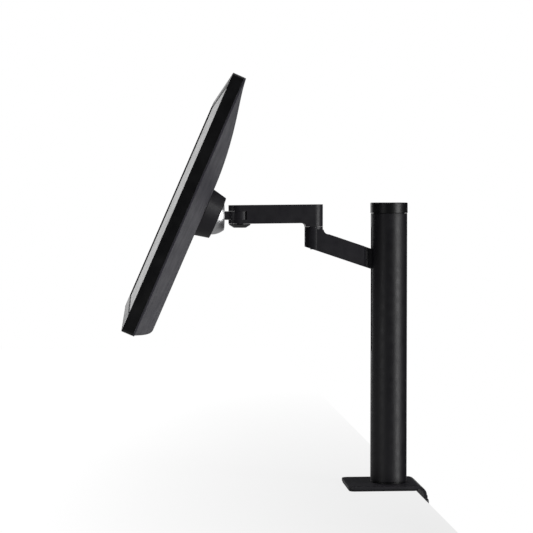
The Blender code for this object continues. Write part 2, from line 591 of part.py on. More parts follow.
def build_display():
    half = DISPLAY_W / 2
    wall = 0.0025
    lip_back = FRONT_Y + 0.0018
    frame = prism(rounded((-half, DISPLAY_LOW), (half, DISPLAY_TOP), 0.004, 3), FRONT_Y, FRAME_BACK, "Y")
    frame = make_object("front_frame", frame, PLASTIC, pivot_axis)
    combine(frame, block((-half + wall, lip_back, DISPLAY_LOW + wall), (half - wall, 0.0, DISPLAY_TOP - wall)))
    combine(frame, block((-half + BEZEL, FRONT_Y - 0.01, DISPLAY_LOW + wall),
                         (half - BEZEL, 0.0, DISPLAY_TOP - BEZEL)))
    for x, key in ((ROCKER_X, ROCKER_HALF), (POWER_X, POWER_HALF)):
        combine(frame, block((x - key - 0.0006, KEY_Y - KEY_HALF - 0.0004, DISPLAY_LOW - 0.01),
                             (x + key + 0.0006, KEY_Y + KEY_HALF + 0.0004, DISPLAY_LOW + 0.01)))
    chin_top = DISPLAY_LOW + CHIN
    make_object("bottom_bezel", block((-half + BEZEL + GAP, FRONT_Y + 0.0002, DISPLAY_LOW + wall + GAP),
                                      (half - BEZEL - GAP, lip_back, chin_top)), PLASTIC, pivot_axis)
    make_object("lcd_panel", block((-half + wall + 0.001, lip_back + GAP, DISPLAY_LOW + 0.008),
                                   (half - wall - 0.001, -0.0502, DISPLAY_TOP - wall - 0.001)), SCREEN, pivot_axis)
    make_object("panel_chassis", block((-half + 0.005, -0.0498, DISPLAY_LOW + 0.008),
                                       (half - 0.005, -0.0483, DISPLAY_TOP - 0.005)), STEEL, pivot_axis)

    receiver = make_object("mount_receiver", block((-0.058, -0.0479, -0.060), (0.058, -0.0212, 0.058)), STEEL,
                           pivot_axis)
    combine(receiver, block((-0.0555, -0.060, -0.0575), (0.0555, -0.0235, 0.0555)))
    combine(receiver, rod(0.0165, -0.03, -0.01, "Y"))
    plate = prism(rounded((-0.045, -0.045), (0.045, 0.045), 0.006), -0.0205, -0.0176, "Y")
    plate = make_object("mount_plate", plate, STEEL, pivot_axis)
    combine(plate, rod(SHAFT_R + 0.0006, -0.03, -0.01, "Y"))

    make_object("main_board", block((-0.150, -0.0440, -0.090), (-0.064, -0.0424, 0.040)), BOARD, pivot_axis)

    ports = make_object("port_panel", block((-PORT_HALF + GAP, -0.0300, PORT_LOW + GAP),
                                            (PORT_HALF - GAP, -0.0190, PORT_TOP - GAP)), PLASTIC, pivot_axis)
    middle = (PORT_LOW + PORT_TOP) / 2
    for x, width, height in ((-0.046, 0.024, 0.018), (-0.014, 0.015, 0.0055), (0.008, 0.016, 0.0055),
                             (0.029, 0.009, 0.0035), (0.048, 0.013, 0.012)):
        combine(ports, block((x - width / 2, -0.0280, middle - height / 2),
                             (x + width / 2, 0.0, middle + height / 2)))


def build_buttons():
    release = make_axis("axis_release_button", pivot_axis, (0, 0, (BUTTON_LOW + BUTTON_TOP) / 2))
    tall = (BUTTON_TOP - BUTTON_LOW) / 2
    button = prism(rounded((-BUTTON_HALF, -tall), (BUTTON_HALF, tall), 0.0015, 2), -0.0183, -0.0135, "Y")
    make_object("release_button", button, PLASTIC, release)
    for name, x, half in (("menu_rocker", ROCKER_X, ROCKER_HALF), ("power_button", POWER_X, POWER_HALF)):
        axis = make_axis("axis_" + name, pivot_axis, (x, KEY_Y, DISPLAY_LOW + 0.004))
        key = prism(rounded((-half, -KEY_HALF), (half, KEY_HALF), 0.0010, 2), -0.0046, 0.0010)
        make_object(name, key, PLASTIC, axis)


build_base()
build_clamp_screw()
build_column()
build_carriage()
build_lower_arm()
build_upper_arm()
build_wrist()
build_head()
build_rear_cover()
build_display()
build_buttons()
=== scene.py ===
"""Looks of the desk-clamp monitor arm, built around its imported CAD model.

Metres, +Z up. The origin is on the desk surface, on the column's axis; the screen faces -Y.
"""
import json
import math

import bmesh
import bpy
import numpy as np
from mathutils import Matrix, Vector


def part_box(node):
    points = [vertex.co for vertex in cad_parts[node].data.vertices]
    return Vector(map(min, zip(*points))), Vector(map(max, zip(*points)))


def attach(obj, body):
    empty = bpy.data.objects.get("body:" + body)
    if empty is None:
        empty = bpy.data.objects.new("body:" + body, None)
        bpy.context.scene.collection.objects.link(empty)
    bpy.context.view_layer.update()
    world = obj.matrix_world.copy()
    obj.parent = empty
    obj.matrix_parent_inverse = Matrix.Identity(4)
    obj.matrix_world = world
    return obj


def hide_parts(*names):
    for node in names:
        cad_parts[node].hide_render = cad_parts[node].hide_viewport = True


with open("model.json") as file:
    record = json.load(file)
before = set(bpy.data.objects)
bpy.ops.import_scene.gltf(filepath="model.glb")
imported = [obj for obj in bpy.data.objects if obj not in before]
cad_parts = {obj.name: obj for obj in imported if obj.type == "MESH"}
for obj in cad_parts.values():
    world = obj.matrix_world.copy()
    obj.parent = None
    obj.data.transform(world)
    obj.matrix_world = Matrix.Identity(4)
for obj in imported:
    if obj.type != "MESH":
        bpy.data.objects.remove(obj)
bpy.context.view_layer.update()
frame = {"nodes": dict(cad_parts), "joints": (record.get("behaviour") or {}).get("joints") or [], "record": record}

NODES = frame["nodes"]
RECORD = frame["record"]
JOINTS = {joint["name"]: joint for joint in frame["joints"]}
BODY_OF = {node: body for body, nodes in RECORD["behaviour"]["bodies"].items() for node in nodes}
SLOT_OF = {part["node"]: part["material_slot"] for part in RECORD["subparts"]}


# ---- places read from the frame -----------------------------------------------------------
ELBOW = Vector(JOINTS["elbow_hinge"]["pos_m"])
WRIST = Vector(JOINTS["wrist_swivel"]["pos_m"])
TILT = Vector(JOINTS["head_tilt"]["pos_m"])
BACK = Vector(JOINTS["display_pivot"]["axis"])
TILT_BACK = math.atan2(-BACK.z, BACK.y)
HEAD = Matrix.Translation(TILT) @ Matrix.Rotation(-TILT_BACK, 4, "X")


def head_box(node):
    """The lowest and highest corners of a node in the display's own frame, behind and up its screen."""
    inverse = HEAD.inverted()
    corners = np.array([inverse @ vert.co for vert in NODES[node].data.vertices])
    return Vector(corners.min(0)), Vector(corners.max(0))


# ---- material helpers ---------------------------------------------------------------------
def new_material(name, colour, roughness, metallic=0.0):
    """A Principled material; returns it with its node tree and shader."""
    material = bpy.data.materials.new(name)
    material.use_nodes = True
    tree = material.node_tree
    shader = tree.nodes["Principled BSDF"]
    shader.inputs["Base Color"].default_value = (*colour, 1.0)
    shader.inputs["Roughness"].default_value = roughness
    shader.inputs["Metallic"].default_value = metallic
    return material, tree, shader


def add(tree, kind, **values):
    """A node with its properties and unlinked inputs set."""
    node = tree.nodes.new("ShaderNode" + kind)
    for key, value in values.items():
        if hasattr(node, key):
            setattr(node, key, value)
        else:
            node.inputs[key.replace("_", " ")].default_value = value
    return node


def coordinates(tree, stretch=(1, 1, 1)):
    """Object coordinates in metres, stretched along each axis."""
    source = add(tree, "TexCoord")
    mapping = add(tree, "Mapping", Scale=stretch)
    tree.links.new(source.outputs["Object"], mapping.inputs["Vector"])
    return mapping.outputs["Vector"]


def noise(tree, vector, size, detail=2.0, rough=0.5):
    """Cloudy noise whose features are about the given size in metres."""
    node = add(tree, "TexNoise", Scale=1 / size, Detail=detail, Roughness=rough)
    tree.links.new(vector, node.inputs["Vector"])
    return node.outputs["Fac"]


def cells(tree, vector, size, feature="F1"):
    """Distance to the nearest point of a random scatter, a grain of rounded cells."""
    node = add(tree, "TexVoronoi", feature=feature, Scale=1 / size)
    tree.links.new(vector, node.inputs["Vector"])
    return node.outputs["Distance"]


def remap(tree, value, low, high, start=0.3, end=0.7):
    """A value between start and end brought to between low and high."""
    node = add(tree, "MapRange")
    for key, number in (("From Min", start), ("From Max", end), ("To Min", low), ("To Max", high)):
        node.inputs[key].default_value = number
    tree.links.new(value, node.inputs["Value"])
    return node.outputs["Result"]


def blend_colour(tree, factor, first, second):
    """A mix of two colours; either may be a linked colour."""
    node = add(tree, "MixRGB")
    tree.links.new(factor, node.inputs["Fac"])
    for key, colour in (("Color1", first), ("Color2", second)):
        if isinstance(colour, tuple):
            node.inputs[key].default_value = (*colour, 1.0)
        else:
            tree.links.new(colour, node.inputs[key])
    return node.outputs["Color"]


def combine(tree, operation, first, second):
    """Two values joined by a math operation."""
    node = add(tree, "Math", operation=operation)
    for i, value in enumerate((first, second)):
        if isinstance(value, (int, float)):
            node.inputs[i].default_value = value
        else:
            tree.links.new(value, node.inputs[i])
    return node.outputs["Value"]


def bump(tree, shader, height, strength, depth, under=None):
    """A bump of the given depth in metres, laid over another bump when one is given."""
    node = add(tree, "Bump", Strength=strength, Distance=depth)
    tree.links.new(height, node.inputs["Height"])
    if under:
        tree.links.new(under, node.inputs["Normal"])
    tree.links.new(node.outputs["Normal"], shader.inputs["Normal"])
    return node.outputs["Normal"]


def edge_wear(tree, radius, low=0.04, high=0.30):
    """A mask that is 1 along sharp edges, where handling rubs a finish bright."""
    rounded_normal = add(tree, "Bevel", samples=4, Radius=radius)
    true_normal = add(tree, "NewGeometry")
    dot = add(tree, "VectorMath", operation="DOT_PRODUCT")
    tree.links.new(rounded_normal.outputs["Normal"], dot.inputs[0])
    tree.links.new(true_normal.outputs["Normal"], dot.inputs[1])
    return remap(tree, combine(tree, "SUBTRACT", 1.0, dot.outputs["Value"]), 0.0, 1.0, low, high)


def scale_colour(colour, factor):
    """A colour made lighter or darker."""
    return tuple(min(channel * factor, 1.0) for channel in colour)


def mottled(tree, field, colour, dark, light):
    """A colour that drifts between a darker and a lighter share of itself."""
    share = remap(tree, field, 0.0, 1.0)
    return blend_colour(tree, share, scale_colour(colour, dark), scale_colour(colour, light))


def powder_coat(name, colour, roughness, grain):
    """Baked powder paint: a fine pebbled skin, cloudy gloss and edges rubbed a little lighter."""
    material, tree, shader = new_material(name, colour, roughness)
    place = coordinates(tree)
    tint = mottled(tree, noise(tree, place, 0.045, 4.0), colour, 0.86, 1.16)
    speck = remap(tree, cells(tree, place, 0.0035), 1.0, 0.0, 0.05, 0.11)
    tint = blend_colour(tree, combine(tree, "MULTIPLY", speck, 0.10), tint, scale_colour(colour, 2.4))
    patches = remap(tree, noise(tree, place, 0.006, 3.0), 0.05, 0.45)
    scuff = combine(tree, "MULTIPLY", edge_wear(tree, 0.0007), patches)
    tint = blend_colour(tree, scuff, tint, scale_colour(colour, 4.0))
    tree.links.new(tint, shader.inputs["Base Color"])
    tree.links.new(remap(tree, noise(tree, place, 0.012, 3.0), roughness - 0.05, roughness + 0.07),
                   shader.inputs["Roughness"])
    pebbles = bump(tree, shader, noise(tree, place, grain, 1.5), 0.35, 0.00006)
    bump(tree, shader, noise(tree, place, grain * 9, 1.0), 0.10, 0.0003, pebbles)
    return material


def moulded_plastic(name, colour, roughness, grain=0.0006):
    """Spark-eroded plastic: a cellular grain with cloudy gloss and a slight polish along the edges."""
    material, tree, shader = new_material(name, colour, roughness)
    place = coordinates(tree)
    tint = mottled(tree, noise(tree, place, 0.060, 3.0), colour, 0.90, 1.12)
    grain_height = cells(tree, place, grain, "SMOOTH_F1")
    pits = remap(tree, grain_height, 0.0, 0.35, 0.2, 0.7)
    tint = blend_colour(tree, pits, tint, scale_colour(colour, 0.6))
    patches = remap(tree, noise(tree, place, 0.008, 2.0), 0.1, 0.4)
    polish = combine(tree, "MULTIPLY", edge_wear(tree, 0.0005), patches)
    tint = blend_colour(tree, polish, tint, scale_colour(colour, 2.6))
    tree.links.new(tint, shader.inputs["Base Color"])
    tree.links.new(remap(tree, noise(tree, place, 0.020, 4.0), roughness - 0.06, roughness + 0.06),
                   shader.inputs["Roughness"])
    pitted = bump(tree, shader, grain_height, 0.30, 0.00005)
    bump(tree, shader, noise(tree, place, grain * 0.45, 2.0), 0.25, 0.000025, pitted)
    return material


def plated_metal(name, colour, roughness, stretch=(1, 1, 1)):
    """Plated or brushed metal: drawn marks along the unstretched axis and cloudy tarnish."""
    material, tree, shader = new_material(name, colour, roughness, 1.0)
    marks = noise(tree, coordinates(tree, stretch), 0.0008, 3.0, 0.6)
    place = coordinates(tree)
    tarnish = noise(tree, place, 0.010, 4.0)
    tint = mottled(tree, tarnish, colour, 0.80, 1.08)
    tint = blend_colour(tree, remap(tree, marks, 0.0, 0.25), tint, scale_colour(colour, 0.70))
    tree.links.new(tint, shader.inputs["Base Color"])
    gloss = combine(tree, "ADD", remap(tree, marks, -0.05, 0.06), remap(tree, tarnish, -0.04, 0.05))
    tree.links.new(combine(tree, "ADD", gloss, roughness), shader.inputs["Roughness"])
    bump(tree, shader, marks, 0.18, 0.00004)
    return material


def turned_metal(name, colour, roughness):
    """Metal brushed on a lathe: fine rings about the local Y axis."""
    material, tree, shader = new_material(name, colour, roughness, 1.0)
    shader.inputs["Anisotropic"].default_value = 0.35
    split = add(tree, "SeparateXYZ")
    tree.links.new(coordinates(tree), split.inputs["Vector"])
    x, z = [combine(tree, "ABSOLUTE", split.outputs[axis], 0) for axis in "XZ"]
    square = combine(tree, "ADD", combine(tree, "POWER", x, 2.0), combine(tree, "POWER", z, 2.0))
    radius = combine(tree, "SQRT", square, 0)
    along = combine(tree, "SUBTRACT", split.outputs["Y"], radius)
    rings = add(tree, "TexNoise", noise_dimensions="1D", Scale=5200.0, Detail=3.0)
    tree.links.new(along, rings.inputs["W"])
    rings = rings.outputs["Fac"]
    smudge = noise(tree, coordinates(tree), 0.009, 3.0)
    tree.links.new(mottled(tree, rings, colour, 0.86, 1.06), shader.inputs["Base Color"])
    gloss = combine(tree, "ADD", remap(tree, rings, -0.05, 0.06), remap(tree, smudge, -0.03, 0.05))
    tree.links.new(combine(tree, "ADD", gloss, roughness), shader.inputs["Roughness"])
    bump(tree, shader, rings, 0.12, 0.00003)
    return material


def soft_rubber(name, colour, roughness):
    """Matt rubber with a bloom of dust and a moulded skin."""
    material, tree, shader = new_material(name, colour, roughness)
    place = coordinates(tree)
    dust = remap(tree, noise(tree, place, 0.007, 5.0), 0.0, 0.5, 0.45, 0.75)
    tree.links.new(blend_colour(tree, dust, colour, scale_colour(colour, 2.2)), shader.inputs["Base Color"])
    tree.links.new(remap(tree, noise(tree, place, 0.003, 3.0), roughness - 0.08, roughness + 0.06),
                   shader.inputs["Roughness"])
    bump(tree, shader, noise(tree, place, 0.0005, 2.0), 0.4, 0.00008)
    return material


def clear_nylon(name, colour):
    """Milky nylon with faint flow lines."""
    material, tree, shader = new_material(name, colour, 0.45)
    shader.inputs["Subsurface Weight"].default_value = 0.15
    shader.inputs["Subsurface Radius"].default_value = (0.002, 0.002, 0.0018)
    place = coordinates(tree, (1, 1, 4))
    flow = noise(tree, place, 0.008, 3.0)
    tree.links.new(mottled(tree, flow, colour, 0.88, 1.0), shader.inputs["Base Color"])
    tree.links.new(remap(tree, flow, 0.38, 0.52), shader.inputs["Roughness"])
    bump(tree, shader, noise(tree, place, 0.0009, 2.0), 0.2, 0.00005)
    return material


def screen_film(name, colour, roughness):
    """An anti-glare screen: a very fine sparkle and faint wipe marks."""
    material, tree, shader = new_material(name, colour, roughness)
    place = coordinates(tree)
    wipe = noise(tree, coordinates(tree, (1, 1, 3)), 0.05, 4.0)
    tree.links.new(mottled(tree, wipe, colour, 0.9, 1.1), shader.inputs["Base Color"])
    tree.links.new(remap(tree, wipe, roughness - 0.03, roughness + 0.04), shader.inputs["Roughness"])
    bump(tree, shader, noise(tree, place, 0.00025, 1.0), 0.10, 0.00002)
    return material


def circuit_board(name, colour):
    """Green solder resist over copper tracks."""
    material, tree, shader = new_material(name, colour, 0.35)
    tracks = add(tree, "TexBrick", Scale=1.0, Mortar_Size=0.0003, Brick_Width=0.006, Row_Height=0.0021)
    tree.links.new(coordinates(tree), tracks.inputs["Vector"])
    copper = remap(tree, tracks.outputs["Fac"], 0.0, 0.6, 0.0, 1.0)
    tint = blend_colour(tree, copper, colour, scale_colour(colour, 3.0))
    tree.links.new(tint, shader.inputs["Base Color"])
    gloss = remap(tree, noise(tree, coordinates(tree), 0.004, 2.0), 0.28, 0.42)
    tree.links.new(gloss, shader.inputs["Roughness"])
    bump(tree, shader, tracks.outputs["Fac"], 0.2, 0.00004)
    return material


MATERIALS = {
    "plate_paint": powder_coat("base_powder_coat", (0.0170, 0.0160, 0.0205), 0.46, 0.0008),
    "column_paint": powder_coat("column_powder_coat", (0.0060, 0.0056, 0.0080), 0.44, 0.0006),
    "arm_paint": powder_coat("arm_powder_coat", (0.0145, 0.0135, 0.0175), 0.46, 0.0006),
    "trim_plastic": moulded_plastic("black_trim_plastic", (0.0030, 0.0030, 0.0038), 0.38),
    "cover_plastic": moulded_plastic("rear_cover_plastic", (0.0520, 0.0495, 0.0640), 0.48, 0.0008),
    "silver_metal": turned_metal("brushed_silver", (0.72, 0.72, 0.73), 0.34),
    "black_steel": plated_metal("black_oxide_steel", (0.120, 0.115, 0.122), 0.42),
    "zinc_steel": plated_metal("zinc_plated_steel", (0.50, 0.50, 0.52), 0.32),
    "chassis_metal": plated_metal("pressed_aluminium", (0.50, 0.50, 0.52), 0.40, (1, 1, 8)),
    "spring_steel": plated_metal("polished_spring_steel", (0.52, 0.52, 0.54), 0.24, (8, 8, 1)),
    "nylon": clear_nylon("natural_nylon", (0.74, 0.72, 0.66)),
    "rubber": soft_rubber("black_rubber", (0.014, 0.014, 0.015), 0.82),
    "screen": screen_film("screen_film", (0.012, 0.012, 0.014), 0.30),
    "board": circuit_board("circuit_board", (0.015, 0.09, 0.035)),
}


# ---- shape helpers ------------------------------------------------------------------------
# An outline lies in the plane that faces the given axis: (x, y) facing Z, (y, z) facing X, (x, z) facing Y.
PLANES = {
    "Z": Matrix.Identity(4),
    "X": Matrix(((0, 0, 1, 0), (1, 0, 0, 0), (0, 1, 0, 0), (0, 0, 0, 1))),
    "Y": Matrix(((1, 0, 0, 0), (0, 0, 1, 0), (0, 1, 0, 0), (0, 0, 0, 1))),
}
FINE = 96                    # steps round a large turned piece


def prism(outline, low, high, facing="Z"):
    """A straight extrusion of an outline from low to high along the axis it faces."""
    bm = bmesh.new()
    base = bm.faces.new([bm.verts.new((a, b, low)) for a, b in outline])
    grown = bmesh.ops.extrude_face_region(bm, geom=[base])
    moved = [item for item in grown["geom"] if isinstance(item, bmesh.types.BMVert)]
    bmesh.ops.translate(bm, verts=moved, vec=(0, 0, high - low))
    bm.transform(PLANES[facing])
    return bm


def turned(profile, facing="Z", steps=FINE):
    """A closed profile of (radius, height) points spun about the axis it faces."""
    bm = bmesh.new()
    rings = []
    for radius, height in profile:
        if radius < 1e-7:
            rings.append([bm.verts.new((0, 0, height))])
            continue
        angles = [math.tau * i / steps for i in range(steps)]
        rings.append([bm.verts.new((radius * math.cos(a), radius * math.sin(a), height)) for a in angles])
    for upper, lower in zip(rings, rings[1:] + rings[:1]):
        for i in range(steps):
            corners = [upper[i % len(upper)], upper[(i + 1) % len(upper)],
                       lower[(i + 1) % len(lower)], lower[i % len(lower)]]
            corners = list(dict.fromkeys(corners))
            if len(corners) > 2:
                bm.faces.new(corners)
    bm.transform(PLANES[facing])
    return bm


def arc(centre, radius, start, end, steps):
    """Points on a circle from one angle to another, in degrees."""
    angles = [math.radians(start + (end - start) * i / steps) for i in range(steps + 1)]
    return [(centre[0] + radius * math.cos(a), centre[1] + radius * math.sin(a)) for a in angles]


def rod(radius, low, high, facing="Z", steps=48):
    """A plain round bar."""
    return prism(arc((0, 0), radius, 0, 360 - 360 / steps, steps - 1), low, high, facing)


def block(low, high):
    """A box given by its lowest and highest corners."""
    corners = [(low[0], low[1]), (high[0], low[1]), (high[0], high[1]), (low[0], high[1])]
    return prism(corners, low[2], high[2])


def rounded(low, high, radius, steps=8):
    """A rectangle with rounded corners."""
    left = low[0] + radius
    right = high[0] - radius
    bottom = low[1] + radius
    top = high[1] - radius
    points = []
    for x, y, start in ((right, top, 0), (left, top, 90), (left, bottom, 180), (right, bottom, 270)):
        points += arc((x, y), radius, start, start + 90, steps)
    return points


def hexagon(across_flats):
    """A hexagon centred on the axis."""
    return arc((0, 0), across_flats / math.sqrt(3), 0, 300, 5)


def lobed(reach, depth, lobes, steps):
    """A circle with shallow lobes."""
    outline = []
    for i in range(steps):
        angle = math.tau * i / steps
        radius = reach - depth + depth * math.cos(lobes * angle)
        outline.append((radius * math.cos(angle), radius * math.sin(angle)))
    return outline


def make_object(name, bm, place=Matrix.Identity(4)):
    """Turn a bmesh into an object at a place in the row frame."""
    bmesh.ops.recalc_face_normals(bm, faces=bm.faces)
    mesh = bpy.data.meshes.new(name)
    bm.to_mesh(mesh)
    bm.free()
    thing = bpy.data.objects.new(name, mesh)
    thing.matrix_world = place
    bpy.context.scene.collection.objects.link(thing)
    return thing


def apply_modifiers(thing):
    """Make the modified shape the object's own mesh."""
    bpy.context.view_layer.update()
    depsgraph = bpy.context.evaluated_depsgraph_get()
    mesh = bpy.data.meshes.new_from_object(thing.evaluated_get(depsgraph))
    thing.modifiers.clear()
    thing.data = mesh


def carve(thing, bm, place=None, operation="DIFFERENCE"):
    """Cut a shape out of an object, join it on, or keep what both share."""
    tool = make_object(thing.name + "_tool", bm, thing.matrix_world.copy() if place is None else place)
    step = thing.modifiers.new("carve", "BOOLEAN")
    step.operation = operation
    step.solver = "EXACT"
    step.object = tool
    apply_modifiers(thing)
    bpy.data.objects.remove(tool, do_unlink=True)
    return thing


def round_off(thing, width, segments=3, angle=32):
    """Round every edge sharper than the angle, and shade the faces smoothly."""
    clean = bmesh.new()
    clean.from_mesh(thing.data)
    bmesh.ops.remove_doubles(clean, verts=clean.verts, dist=2e-6)
    bmesh.ops.dissolve_limit(clean, angle_limit=math.radians(0.6), verts=clean.verts, edges=clean.edges)
    bmesh.ops.recalc_face_normals(clean, faces=clean.faces)
    clean.to_mesh(thing.data)
    clean.free()
    if width:
        step = thing.modifiers.new("round", "BEVEL")
        step.width = width
        step.segments = segments
        step.limit_method = "ANGLE"
        step.angle_limit = math.radians(angle)
        step.use_clamp_overlap = True
        step.miter_outer = "MITER_ARC"
    thing.data.shade_smooth()
    weigh = thing.modifiers.new("weigh", "WEIGHTED_NORMAL")
    weigh.keep_sharp = True
    apply_modifiers(thing)
    thing.data.shade_smooth()
    thing.data.set_sharp_from_angle(angle=math.radians(50))
    return thing


def detail(thing, node, slot):
    """Give a piece the finish of a slot and let it ride with a node; it replaces nothing."""
    thing.data.materials.clear()
    thing.data.materials.append(MATERIALS[slot])
    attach(thing, BODY_OF[node])


def settle(thing, node):
    """Give a finished piece its node's material, slot and body, and let it stand for the node."""
    detail(thing, node, SLOT_OF[node])
    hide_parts(node)


def softened(node, width, segments=3):
    """The CAD node's own shape with its edges rounded."""
    bm = bmesh.new()
    bm.from_mesh(NODES[node].data)
    settle(round_off(make_object(node + "_piece", bm), width, segments), node)


def at(x, y, z):
    """A place without a turn."""
    return Matrix.Translation((x, y, z))


def middle_of(node):
    """The middle of a CAD node's box."""
    low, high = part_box(node)
    return (low + high) / 2


# ---- desk clamp and base ------------------------------------------------------------------
REACH = 0.2                  # how far the cutting shapes reach past the plate
PLATE_THICK = 0.004
PLATE_BEND = 0.013           # outer radius where the plate turns down behind the desk
PLATE_CORNER = 0.010
FLANGE_CORNER = 0.008
BRACKET_SCREWS = ("bracket_screw_1", "bracket_screw_2")
BRACKET_HOLE_R = 0.0033
BRACKET_SCREW_R = 0.003
BRACKET_HEAD_TALL = 0.003
BRACKET_RECESS = 0.004       # across the hexagon's flats
BRACKET_SHANK = 0.0083
THREAD_PITCH = 0.00175
THREAD_DEPTH = 0.0009
THREAD_FACES = 32            # faces round the spindle
ROWS_PER_TURN = 6
KNOB_LOBE = 0.0025
KNOB_BORE_R = 0.0063
KNOB_FLOOR = 0.0037
KNOB_DISH_R = 0.0125
KNOB_DISH = 0.0012


def build_base():
    low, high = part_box("base_plate")
    bend = (high.y - PLATE_BEND, high.z - PLATE_BEND)
    side = [(low.y, high.z - PLATE_THICK), (low.y, high.z)] + arc(bend, PLATE_BEND, 90, 0, 20)
    side += [(high.y, low.z), (high.y - PLATE_THICK, low.z)]
    side += arc(bend, PLATE_BEND - PLATE_THICK, 0, 90, 20)
    plate = make_object("base_plate_piece", prism(side, low.x, high.x, "X"))
    front = rounded((low.x, low.y), (high.x, high.y + REACH), PLATE_CORNER, 16)
    carve(plate, prism(front, -REACH, REACH), operation="INTERSECT")
    flange = rounded((low.x, low.z), (high.x, high.z + REACH), FLANGE_CORNER, 16)
    carve(plate, prism(flange, -REACH, REACH, "Y"), operation="INTERSECT")
    for node in BRACKET_SCREWS:
        middle = middle_of(node)
        carve(plate, rod(BRACKET_HOLE_R, -0.02, 0.02, "Y"), at(middle.x, high.y, middle.z))
    settle(round_off(plate, 0.0006), "base_plate")
    softened("clamp_bracket", 0.0006)
    softened("desk_pad", 0.0005)
    softened("swivel_washer", 0.0002)


def build_screw(node, place, radius, tall, across, shank, shank_length, star=False):
    """A button-headed screw along its place's +Z, with a hexagon or star recess."""
    lip = min(tall * 0.45, 0.0012)
    profile = [(0, -shank_length), (shank * 0.8, -shank_length), (shank, shank * 0.4 - shank_length)]
    profile += [(shank, 0), (radius, 0)] + arc((radius - lip, tall - lip), lip, 0, 90, 6) + [(0, tall)]
    thing = make_object(node + "_piece", turned(profile, steps=64), place)
    recess = lobed(across / 2, across * 0.07, 6, 48) if star else hexagon(across)
    carve(thing, prism(recess, tall * 0.35, tall * 3))
    settle(round_off(thing, 0.00015, 2), node)


def toward(direction, origin):
    """A place whose +Z points in a direction."""
    return at(*origin) @ Vector(direction).to_track_quat("Z", "Y").to_matrix().to_4x4()


def build_spindle():
    """The clamp's threaded bar, plain where the knob grips it."""
    low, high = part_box("clamp_spindle")
    thread_low = low.z + 0.018
    thread_top = high.z - 0.0012
    rows = int((thread_top - thread_low) / THREAD_PITCH * ROWS_PER_TURN)
    bm = bmesh.new()

    def ring(z, cut, radius=high.x):
        """A ring of the bar; cut is the share of the groove's depth that it has."""
        line = []
        for i in range(THREAD_FACES):
            angle = math.tau * i / THREAD_FACES
            phase = (z / THREAD_PITCH - i / THREAD_FACES) % 1.0
            groove = max(0.0, 1 - abs(phase - 0.5) / 0.42)
            r = radius - THREAD_DEPTH * groove * cut
            line.append(bm.verts.new((r * math.cos(angle), r * math.sin(angle), z)))
        return line

    grid = [ring(low.z, 0.0), ring(thread_low - 0.0004, 0.0)]
    for j in range(rows + 1):
        fade = min(1, j / ROWS_PER_TURN, (rows - j) / ROWS_PER_TURN)
        grid.append(ring(thread_low + (thread_top - thread_low) * j / rows, fade))
    grid.append(ring(high.z, 0.0, high.x - 0.001))
    for lower, upper in zip(grid, grid[1:]):
        for i in range(THREAD_FACES):
            k = (i + 1) % THREAD_FACES
            bm.faces.new((lower[i], lower[k], upper[k], upper[i]))
    bm.faces.new(grid[0][::-1])
    bm.faces.new(grid[-1])
    spindle = make_object("clamp_spindle_piece", bm)
    spindle.data.shade_smooth()
    spindle.data.set_sharp_from_angle(angle=math.radians(40))
    settle(spindle, "clamp_spindle")


def build_clamp():
    for node in BRACKET_SCREWS:
        low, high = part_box(node)
        middle = middle_of(node)
        seat = toward((0, 1, 0), (middle.x, high.y - BRACKET_HEAD_TALL, middle.z))
        head_r = (high.x - low.x) / 2
        build_screw(node, seat, head_r, BRACKET_HEAD_TALL, BRACKET_RECESS, BRACKET_SCREW_R, BRACKET_SHANK)
    softened("clamp_nut", 0.0004)
    softened("pressure_disc", 0.0003)
    softened("pressure_pad", 0.0005)
    build_spindle()
    low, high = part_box("clamp_knob")
    knob = make_object("clamp_knob_piece", prism(lobed(high.x, KNOB_LOBE, 6, 144), low.z, high.z))
    carve(knob, rod(KNOB_BORE_R, low.z + KNOB_FLOOR, high.z + 0.01))
    carve(knob, rod(KNOB_DISH_R, low.z - 0.01, low.z + KNOB_DISH))
    settle(round_off(knob, 0.0018, 5, 50), "clamp_knob")


# ---- column -------------------------------------------------------------------------------
COLUMN_R = 0.027
COLUMN_WALL = 0.003
COLUMN_EDGE = 0.0004         # chamfer of the tube's ends
LINER_SEAM = 0.0003
LINER_LIP = 0.0013
CAP_SKIRT_R = 0.0235
CAP_RIM_LOW = 0.4062         # where the cap's rim rests on the tube
CAP_EDGE = 0.0014


